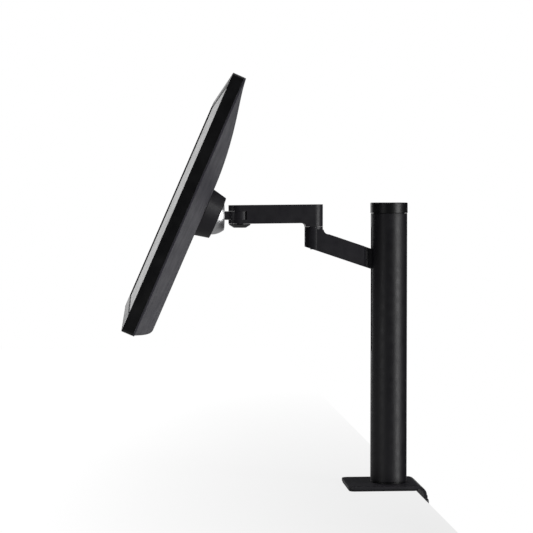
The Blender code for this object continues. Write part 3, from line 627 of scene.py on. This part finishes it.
def build_column():
    low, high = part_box("column_tube")
    slot_low, slot_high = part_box("slot_liner")
    inner = COLUMN_R - COLUMN_WALL
    profile = [(inner, low.z), (COLUMN_R - COLUMN_EDGE, low.z), (COLUMN_R, low.z + COLUMN_EDGE)]
    profile += [(COLUMN_R, high.z - COLUMN_EDGE), (COLUMN_R - COLUMN_EDGE, high.z), (inner, high.z)]
    tube = make_object("column_tube_piece", turned(profile, steps=144))
    slot = rounded((slot_low.x - LINER_SEAM, slot_low.z - LINER_SEAM),
                   (slot_high.x + LINER_SEAM, slot_high.z + LINER_SEAM), 0.0012, 5)
    carve(tube, prism(slot, -0.040, -0.010, "Y"))
    settle(round_off(tube, 0.0004, 3, 40), "column_tube")

    outer = rounded((slot_low.x, slot_low.z), (slot_high.x, slot_high.z), 0.0010, 5)
    liner = make_object("slot_liner_piece", prism(outer, slot_low.y, slot_high.y, "Y"))
    opening = rounded((slot_low.x + LINER_LIP, slot_low.z + LINER_LIP),
                      (slot_high.x - LINER_LIP, slot_high.z - LINER_LIP), 0.0006, 4)
    carve(liner, prism(opening, -0.05, 0.0, "Y"))
    settle(round_off(liner, 0.0003, 2), "slot_liner")

    low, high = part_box("column_cap")
    profile = [(0, low.z), (CAP_SKIRT_R - 0.0005, low.z), (CAP_SKIRT_R, low.z + 0.0005)]
    profile += [(CAP_SKIRT_R, CAP_RIM_LOW), (high.x - 0.0003, CAP_RIM_LOW), (high.x, CAP_RIM_LOW + 0.0003)]
    profile += arc((high.x - CAP_EDGE, high.z - CAP_EDGE), CAP_EDGE, 0, 90, 8)
    profile += [(high.x - 0.0045, high.z), (high.x - 0.0052, high.z - 0.0006), (0, high.z - 0.0006)]
    cap = make_object("column_cap_piece", turned(profile, steps=144))
    settle(round_off(cap, 0.0), "column_cap")


# ---- arms ---------------------------------------------------------------------------------
UPPER_DROOP = 0.0016         # the upper arm's fall from elbow to wrist
BEAM_RISE = 0.0043           # how far the beam's underside lies above its barrel's end
BARREL_REACH = 0.0132        # from the elbow's axis to where the beam starts
HUB_HOLE_R = 0.0164
FORK_REACH = 0.0093          # how far the fork's side openings run past the wrist's axis
WRIST_BOLT_HOLE_R = 0.0053
WRIST_HEAD_HOLE_R = 0.0090
ELBOW_BUSH_HOLE_R = 0.0078
BEAM_SLOPE = 0.337           # rise of the lower arm's beam toward the elbow
BEAM_ROOT_Y = -0.0270
BEAM_ROOT_TOP = 0.3535
BEAM_KNEE_Y = -0.0905        # where the beam turns up into its barrel
BEAM_FILLET = 0.0075
FLARE_Y = -0.0388            # where the neck has widened to the beam
BARREL_LOW = 0.330
ELBOW_BORE_R = 0.0056
SET_SCREW_HOLE_R = 0.0026
SET_SCREW_Z = 0.3637
ARM_PIN_HOLE_R = 0.0024
HUB_R = 0.0160
HUB_BORE_R = 0.0076
STUB_HALF = 0.0085           # half the width of the bar between the knuckle's hub and its boss
STUB_CORNER = 0.003
TILT_BOSS_HALF = 0.0115
TILT_BORE_R = 0.0036
SCREW_POCKET_R = 0.0056
SCREW_POCKET_X = 0.0100      # where the pocket's floor lies
SIDE_SCREW_R = 0.003
SIDE_SCREW_STAR = 0.0062     # across the points of the star recess
WRIST_BOLT_R = 0.005
WRIST_BOLT_STAR = 0.0070
WRIST_HEAD_TALL = 0.0034


def build_upper_arm():
    low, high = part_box("upper_arm")
    elbow_r = high.y - ELBOW.y
    wrist_r = WRIST.y - low.y
    tangent = math.degrees(math.asin((wrist_r - elbow_r) / (ELBOW.y - WRIST.y)))
    outline = arc((0, ELBOW.y), elbow_r, -tangent, 180 + tangent, 64)
    outline += arc((0, WRIST.y), wrist_r, 180 + tangent, 360 - tangent, 64)
    arm = make_object("upper_arm_piece", prism(outline, low.z - 0.01, high.z + 0.01))
    beam_low = low.z + BEAM_RISE
    barrel = ELBOW.y - BARREL_REACH
    side = [(low.y - 0.01, high.z - UPPER_DROOP), (high.y + 0.01, high.z), (high.y + 0.01, low.z)]
    side += [(barrel, low.z), (barrel + 0.0004, low.z + 0.0020)]
    side += arc((barrel - 0.0044, low.z + 0.0004), 0.0048, 20, 88, 8)
    side += [(WRIST.y + 0.015, beam_low), (low.y - 0.01, beam_low)]
    carve(arm, prism(side, -0.03, 0.03, "X"), operation="INTERSECT")
    slot_low, slot_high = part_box("wrist_bush")
    wrist = at(0, WRIST.y, 0)
    carve(arm, rod(HUB_HOLE_R, slot_low.z, slot_high.z, steps=128), wrist)
    carve(arm, block((-0.03, -0.03, slot_low.z), (0.03, FORK_REACH, slot_high.z)), wrist)
    carve(arm, rod(WRIST_BOLT_HOLE_R, low.z - 0.01, high.z + 0.01, steps=64), wrist)
    bolt_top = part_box("wrist_bolt")[1].z
    carve(arm, rod(WRIST_HEAD_HOLE_R, bolt_top - 0.0037, high.z + 0.01, steps=64), wrist)
    bush_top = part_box("elbow_bush")[1].z
    carve(arm, rod(ELBOW_BUSH_HOLE_R, low.z - 0.01, bush_top + 0.002, steps=64), at(0, ELBOW.y, 0))
    settle(round_off(arm, 0.0005, 3, 40), "upper_arm")


def build_lower_arm():
    low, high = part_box("lower_arm")
    barrel_r = high.x
    half = barrel_r - 0.0005
    rise = BEAM_ROOT_TOP + (BEAM_ROOT_Y - BEAM_KNEE_Y) * BEAM_SLOPE
    outline = [(-0.0090, low.z), (-0.0090, BEAM_ROOT_TOP), (BEAM_ROOT_Y, BEAM_ROOT_TOP), (BEAM_KNEE_Y, rise)]
    outline += arc((BEAM_KNEE_Y - 0.0005, rise + BEAM_FILLET), BEAM_FILLET, 268, 186, 12)
    outline += [(ELBOW.y, rise + BEAM_FILLET), (ELBOW.y, BARREL_LOW), (BEAM_ROOT_Y - 0.003, 0.310)]
    outline += [(BEAM_ROOT_Y, low.z)]
    arm = make_object("lower_arm_piece", rod(barrel_r, BARREL_LOW, high.z, steps=128), at(0, ELBOW.y, 0))
    carve(arm, prism(outline, -half, half, "X"), at(0, 0, 0), "UNION")
    front = ELBOW.y - barrel_r - 0.004
    wedge = [(front, low.z + (BEAM_ROOT_Y - front) * BEAM_SLOPE), (BEAM_ROOT_Y, low.z)]
    wedge += [(BEAM_ROOT_Y, 0.290), (front, 0.290)]
    carve(arm, prism(wedge, -0.02, 0.02, "X"), at(0, 0, 0))
    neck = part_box("slot_liner")[1].x - 0.0017
    flare = half - neck + 0.0003
    for side in (-1, 1):
        cheek = [(neck, 0.01)] + arc((neck + flare, FLARE_Y + flare), flare, 180, 270, 16)
        cheek += [(0.0200, FLARE_Y), (0.0200, 0.01)]
        carve(arm, prism([(side * x, y) for x, y in cheek], 0.30, 0.40), at(0, 0, 0))
    carve(arm, rod(ELBOW_BORE_R, 0.352, 0.400, steps=64))
    carve(arm, rod(SET_SCREW_HOLE_R, 0.0070, 0.020, "X", 32), at(0, ELBOW.y, SET_SCREW_Z))
    for node in ("arm_pin_1", "arm_pin_2"):
        carve(arm, rod(ARM_PIN_HOLE_R, -0.02, 0.02, "X", 24), at(*middle_of(node)))
    settle(round_off(arm, 0.0006, 3, 40), "lower_arm")


def build_knuckle():
    low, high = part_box("wrist_knuckle")
    bush_low, bush_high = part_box("wrist_bush")
    hub = (bush_low.z + 0.0001, bush_high.z - 0.0001)
    stub = rounded((-STUB_HALF, hub[0]), (STUB_HALF, hub[1]), STUB_CORNER)
    wrist = at(0, WRIST.y, 0)
    boss = at(0, TILT.y, TILT.z)
    knuckle = make_object("wrist_knuckle_piece", rod(HUB_R, *hub, steps=128), wrist)
    carve(knuckle, prism(stub, TILT.y - WRIST.y, -0.004, "Y"), wrist, "UNION")
    carve(knuckle, rod((high.z - low.z) / 2, -TILT_BOSS_HALF, TILT_BOSS_HALF, "X", 64), boss, "UNION")
    carve(knuckle, rod(HUB_BORE_R, 0.39, 0.42, steps=64), wrist)
    carve(knuckle, rod(TILT_BORE_R, -0.02, 0.02, "X"), boss)
    screw = middle_of("wrist_side_screw")
    carve(knuckle, rod(SCREW_POCKET_R, SCREW_POCKET_X, 0.02, "X", 64), at(0, screw.y, screw.z))
    settle(round_off(knuckle, 0.0003, 2, 40), "wrist_knuckle")


def build_wrist_screws():
    low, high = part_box("wrist_side_screw")
    middle = middle_of("wrist_side_screw")
    seat = toward((1, 0, 0), (low.x, middle.y, middle.z))
    head_r = (high.z - low.z) / 2
    build_screw("wrist_side_screw", seat, head_r, high.x - low.x, SIDE_SCREW_STAR, SIDE_SCREW_R, 0.0, True)
    low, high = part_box("wrist_bolt")
    under_head = high.z - WRIST_HEAD_TALL
    seat = toward((0, 0, 1), (WRIST.x, WRIST.y, under_head))
    head_r = (high.x - low.x) / 2
    shank = under_head - low.z
    build_screw("wrist_bolt", seat, head_r, WRIST_HEAD_TALL, WRIST_BOLT_STAR, WRIST_BOLT_R, shank, True)


def build_nut_cover():
    low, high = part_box("wrist_nut_cover")
    foot = 0.0092
    outer = 0.0158
    bore = 0.0053
    floor = low.z + 0.0027
    profile = [(0, low.z), (foot - 0.0006, low.z), (foot + 0.0003, low.z + 0.0004)]
    profile += [(outer - 0.0002, low.z + 0.0041), (outer, low.z + 0.0047), (outer, high.z), (bore, high.z)]
    profile += [(bore, floor), (0, floor)]
    cover = make_object("wrist_nut_cover_piece", turned(profile, steps=96), at(0, WRIST.y, 0))
    settle(round_off(cover, 0.0002, 2), "wrist_nut_cover")


def build_arms():
    build_lower_arm()
    build_upper_arm()
    build_knuckle()
    softened("carriage_block", 0.0004)
    build_wrist_screws()
    softened("elbow_set_screw", 0.0001)
    build_nut_cover()


# ---- tilt head ----------------------------------------------------------------------------
DOME_R = 0.0278
DOME_WALL = 0.0022
DOME_WINDOW = (0.0088, 0.0066)    # half the width and height of the opening for the knuckle's bar
HEAD_LIP_R = 0.0268          # the head cover's mouth round the dome
HEAD_FOOT_BORE_R = 0.0340
HEAD_SHOULDER_R = 0.0322
HEAD_SHOULDER = 0.0014       # rounding of the cone's rear edge


def build_dome():
    low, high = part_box("joint_dome")
    back = high.y - TILT.y
    rim = low.y - TILT.y
    edge = back - 0.0003
    inner = DOME_R - DOME_WALL
    crown = math.sqrt(DOME_R ** 2 - edge ** 2)

    def latitude(height, radius):
        return math.degrees(math.asin(height / radius))

    profile = [(0, back), (crown - 0.0003, back)]
    profile += arc((0, 0), DOME_R, latitude(edge, DOME_R), latitude(rim, DOME_R), 28)
    profile += arc((0, 0), inner, latitude(rim, inner), latitude(back - DOME_WALL, inner), 16)
    profile += [(0, back - DOME_WALL)]
    dome = make_object("joint_dome_piece", turned(profile, "Y"), at(*TILT))
    wide, tall = DOME_WINDOW
    carve(dome, prism(rounded((-wide, -tall), (wide, tall), 0.0022), 0.008, 0.040, "Y"))
    settle(round_off(dome, 0.0003, 2, 40), "joint_dome")


def build_head():
    low, high = head_box("head_cover")
    wide = high.x
    profile = [(HEAD_FOOT_BORE_R, low.y), (wide - 0.0003, low.y), (wide, low.y + 0.0004)]
    profile += [(wide - 0.0001, low.y + 0.0010), (HEAD_SHOULDER_R, high.y - 0.0016)]
    profile += arc((HEAD_SHOULDER_R - 0.0013, high.y - HEAD_SHOULDER), HEAD_SHOULDER, 10, 90, 6)
    profile += [(HEAD_LIP_R + 0.0004, high.y), (HEAD_LIP_R, high.y - 0.0004), (HEAD_LIP_R, high.y - 0.0016)]
    profile += [(0.0291, high.y - 0.0024)]
    cover = make_object("head_cover_piece", turned(profile, "Y", 128), HEAD)
    settle(round_off(cover, 0.0002, 2, 40), "head_cover")
    softened("tilt_bracket", 0.0003)
    softened("release_button", 0.0004)


# ---- display ------------------------------------------------------------------------------
COVER_EDGE = 0.0022          # depth of the rear cover along its outline
COVER_WALL = 0.0025
COVER_ROLL = 0.0050          # height over which its lower end is rounded
COVER_SHOULDER = 0.247       # width of the curve that falls to each side
COVER_BEND_Z = 0.035         # where the curve to the upper edge starts
COVER_FALL = 0.160
COVER_COLUMNS = 104
COVER_ROWS = 60
BOSS_HOLE_R = 0.0343
OPENING_GAP = 0.0004
SOCKETS = ((-0.014, 0.011), (0.008, 0.011), (0.029, 0.0062))    # middle and width of each tongue
INLET_X = -0.046
BLADE_PITCH = 0.0075
SLIT_PITCH = 0.0062
SLIT_HALF = (0.0011, 0.0042)
SLIT_ROWS = (0.0820, 0.0935, 0.1050)


def cover_form(inset, base):
    """A closed solid under the rear cover's curve, drawn in from its outline by the inset."""
    low, high = head_box("rear_cover")
    bulge = high.y - low.y - COVER_EDGE

    def height(x, z):
        across = math.sin(math.pi / 2 * min(max((high.x - abs(x)) / COVER_SHOULDER, 0), 1))
        down = 1 - max((z - COVER_BEND_Z) / COVER_FALL, 0) ** 2
        below = min((z - low.z) / COVER_ROLL, 1)
        rolled = COVER_ROLL * (1 - math.sqrt(max(1 - (1 - below) ** 2, 0)))
        return low.y + COVER_EDGE + max(bulge * across * down - rolled, 0)

    rolled_rows = (0, 0.03, 0.10, 0.22, 0.40, 0.65)
    plain_rows = COVER_ROWS - len(rolled_rows)
    rises = [COVER_ROLL * t for t in rolled_rows]
    rises += [COVER_ROLL + (high.z - low.z - COVER_ROLL) * j / plain_rows for j in range(plain_rows + 1)]
    bm = bmesh.new()
    narrow = (high.x - low.x - 2 * inset) / COVER_COLUMNS
    shorten = 1 - 2 * inset / (high.z - low.z)
    grid = []
    for rise in rises:
        z = low.z + inset + rise * shorten
        xs = [low.x + inset + narrow * i for i in range(COVER_COLUMNS + 1)]
        grid.append([bm.verts.new((x, height(x, z) - inset * 0.8, z)) for x in xs])
    for lower, upper in zip(grid, grid[1:]):
        for i in range(COVER_COLUMNS):
            bm.faces.new((lower[i], lower[i + 1], upper[i + 1], upper[i]))
    loop = grid[0] + [line[-1] for line in grid[1:]] + grid[-1][-2::-1] + [line[0] for line in grid[-2:0:-1]]
    foot = [bm.verts.new((vert.co.x, base, vert.co.z)) for vert in loop]
    for i in range(len(loop)):
        bm.faces.new((loop[i - 1], loop[i], foot[i], foot[i - 1]))
    bm.faces.new(foot)
    return bm


def cover_openings():
    """The boss hole, the key's and the ports' openings and the vents, as one cutting shape."""
    outlines = [arc((0, 0), BOSS_HOLE_R, 0, 360 - 360 / FINE, FINE - 1)]
    for node, radius in (("release_button", 0.0018), ("port_panel", 0.0012)):
        low, high = head_box(node)
        outlines.append(rounded((low.x - OPENING_GAP, low.z - OPENING_GAP),
                                (high.x + OPENING_GAP, high.z + OPENING_GAP), radius))
    wide, tall = SLIT_HALF
    for z in SLIT_ROWS:
        for i in range(-17, 18):
            x = i * SLIT_PITCH
            slit = rounded((x - wide, -tall), (x + wide, tall), 0.0010, 4)
            outlines.append([(a, b + z) for a, b in slit])
    openings = bmesh.new()
    for outline in outlines:
        tool = prism(outline, -0.040, 0.0, "Y")
        piece = bpy.data.meshes.new("opening")
        tool.to_mesh(piece)
        tool.free()
        openings.from_mesh(piece)
        bpy.data.meshes.remove(piece)
    return openings


def build_rear_cover():
    low, high = head_box("rear_cover")
    cover = make_object("rear_cover_piece", cover_form(0.0, low.y), HEAD)
    carve(cover, cover_form(COVER_WALL, low.y - 0.005))
    corners = rounded((low.x, low.z), (high.x, high.z), 0.004, 8)
    carve(cover, prism(corners, low.y - 0.01, high.y + 0.01, "Y"), operation="INTERSECT")
    carve(cover, cover_openings())
    settle(round_off(cover, 0.0006, 2, 40), "rear_cover")


def build_sockets():
    """The tongues of the data sockets and the blades of the mains inlet."""
    low, high = head_box("port_panel")
    middle = (low.z + high.z) / 2
    floor = low.y + 0.0021
    half_thick = 0.0006
    for i, (x, width) in enumerate(SOCKETS):
        tongue = block((x - width / 2, floor, middle - half_thick),
                       (x + width / 2, high.y - 0.0018, middle + half_thick))
        thing = make_object(f"socket_tongue_{i + 1}", tongue, HEAD)
        detail(round_off(thing, 0.0002, 2), "port_panel", "trim_plastic")
    for i in range(3):
        x = INLET_X + (i - 1) * BLADE_PITCH
        blade = block((x - 0.001, floor, middle - 0.002), (x + 0.001, high.y - 0.0015, middle + 0.002))
        thing = make_object(f"inlet_blade_{i + 1}", blade, HEAD)
        detail(round_off(thing, 0.0003, 2), "port_panel", "zinc_steel")


def build_display():
    build_rear_cover()
    softened("front_frame", 0.0005, 2)
    softened("bottom_bezel", 0.0003, 2)
    softened("menu_rocker", 0.0004, 2)
    softened("power_button", 0.0004, 2)
    softened("port_panel", 0.0003, 2)
    build_sockets()


# ---- what keeps its CAD shape -------------------------------------------------------------
def finish_cad_nodes():
    for node, thing in NODES.items():
        if not thing.hide_render:
            for place in thing.material_slots:
                place.material = MATERIALS[SLOT_OF[node]]


# ---- stage, light and camera --------------------------------------------------------------
DESK_LOW = (-2.6, -2.2, -0.025)
DESK_HIGH = (1.4, 0.035, 0.0)
DESK_STRETCH = (0.53, 1.80, 0)   # how much a metre along each axis counts in the fade
DESK_SHIFT = (-0.21, 0, 0)   # where the fade's middle, the darkest of the painted shade, lies, after that stretch
DESK_PAINTED_GLOW = (0.865, 1.14)    # painted glow strength where the fade to white starts, at its middle, and where it ends, from a stretched distance of 1.3 on; the lower one is a painted shade round the column's base
BOUNCE = 0.30                # how much of the desk's glow lights the arm
CAMERA_PLACE = (2.529, -0.3676, 0.407)
CAMERA_TURN = math.radians(4.2)
CAMERA_DROP = math.radians(1.8)
CAMERA_LENS = 116.2
# Each soft box: place, target, width, height and power in watts.
SOFT_BOXES = {
    "key_box": ((1.22, 1.49, 0.45), (0, 0, 0.20), 0.80, 2.2, 27),
    "fill_box": ((1.30, -1.50, 0.25), (0, 0, 0.20), 0.6, 0.6, 3.1),
    "rear_box": ((-2.0, 0.8, -0.1), (0, -0.3, 0.4), 0.6, 1.2, 1.7),
    "top_box": ((0.2, -0.2, 2.2), (0, -0.1, 0.2), 1.6, 1.6, 15),
    "screen_card": ((-1.6, -0.75, 0.35), (0, -0.35, 0.4), 1.0, 1.4, 5.5),
}


def build_stage():
    top, tree, shader = new_material("desk_top", (0.90, 0.90, 0.90), 0.55)
    place = coordinates(tree)
    grain = noise(tree, place, 0.004, 3.0)
    tree.links.new(remap(tree, grain, 0.50, 0.60), shader.inputs["Roughness"])
    bump(tree, shader, grain, 0.05, 0.0001)
    shifted = add(tree, "Mapping", Location=DESK_SHIFT, Scale=DESK_STRETCH)
    tree.links.new(place, shifted.inputs["Vector"])
    distance = add(tree, "VectorMath", operation="LENGTH")
    tree.links.new(shifted.outputs["Vector"], distance.inputs[0])
    # Painted light: the desk glows though it is no lamp, dimmest round the column's base as a painted shade and
    # brighter away from it; off camera rays a share of this glow lights the arm.
    painted_glow = add(tree, "Emission")
    painted_shade_glow = remap(tree, distance.outputs["Value"], DESK_PAINTED_GLOW[0], DESK_PAINTED_GLOW[1], 0.0, 1.3)
    seen = remap(tree, add(tree, "LightPath").outputs["Is Camera Ray"], BOUNCE, 1.0, 0.0, 1.0)
    tree.links.new(combine(tree, "MULTIPLY", painted_shade_glow, seen), painted_glow.inputs["Strength"])
    mixer = add(tree, "MixShader", Fac=0.92)
    tree.links.new(shader.outputs["BSDF"], mixer.inputs[1])
    tree.links.new(painted_glow.outputs["Emission"], mixer.inputs[2])
    tree.links.new(mixer.outputs["Shader"], tree.nodes["Material Output"].inputs["Surface"])
    desk = make_object("desk_top", block(DESK_LOW, DESK_HIGH))
    round_off(desk, 0.0010, 3)
    desk.data.materials.append(top)


def soft_light(name, place, target, width, height, power):
    """A rectangular soft box at a place, turned to its target."""
    data = bpy.data.lights.new(name, "AREA")
    data.shape = "RECTANGLE"
    data.size = width
    data.size_y = height
    data.energy = power
    lamp = bpy.data.objects.new(name, data)
    lamp.location = place
    lamp.rotation_euler = (Vector(target) - Vector(place)).to_track_quat("-Z", "Y").to_euler()
    lamp.visible_camera = False
    bpy.context.scene.collection.objects.link(lamp)


def build_lights():
    """A world that is white behind the arm but hardly lights it, and the soft boxes."""
    world = bpy.data.worlds.new("studio")
    world.use_nodes = True
    bpy.context.scene.world = world
    tree = world.node_tree
    seen = tree.nodes["Background"]
    seen.inputs["Color"].default_value = (1, 1, 1, 1)
    unseen = add(tree, "Background", Color=(0.93, 0.94, 1.0, 1), Strength=0.035)
    ray = add(tree, "LightPath")
    mixer = add(tree, "MixShader")
    tree.links.new(ray.outputs["Is Camera Ray"], mixer.inputs["Fac"])
    tree.links.new(unseen.outputs["Background"], mixer.inputs[1])
    tree.links.new(seen.outputs["Background"], mixer.inputs[2])
    tree.links.new(mixer.outputs["Shader"], tree.nodes["World Output"].inputs["Surface"])
    for name, settings in SOFT_BOXES.items():
        soft_light(name, *settings)


def build_camera():
    data = bpy.data.cameras.new("camera")
    data.lens = CAMERA_LENS
    data.sensor_width = 36
    data.clip_start = 0.1
    data.clip_end = 20
    camera = bpy.data.objects.new("camera", data)
    camera.location = CAMERA_PLACE
    level = math.cos(CAMERA_DROP)
    look = Vector((-math.cos(CAMERA_TURN) * level, math.sin(CAMERA_TURN) * level, -math.sin(CAMERA_DROP)))
    camera.rotation_euler = look.to_track_quat("-Z", "Y").to_euler()
    bpy.context.scene.collection.objects.link(camera)
    bpy.context.scene.camera = camera
    bpy.context.scene.view_settings.view_transform = "Standard"


build_camera()
build_stage()
build_lights()
build_base()
build_clamp()
build_column()
build_arms()
build_dome()
build_head()
build_display()
finish_cad_nodes()
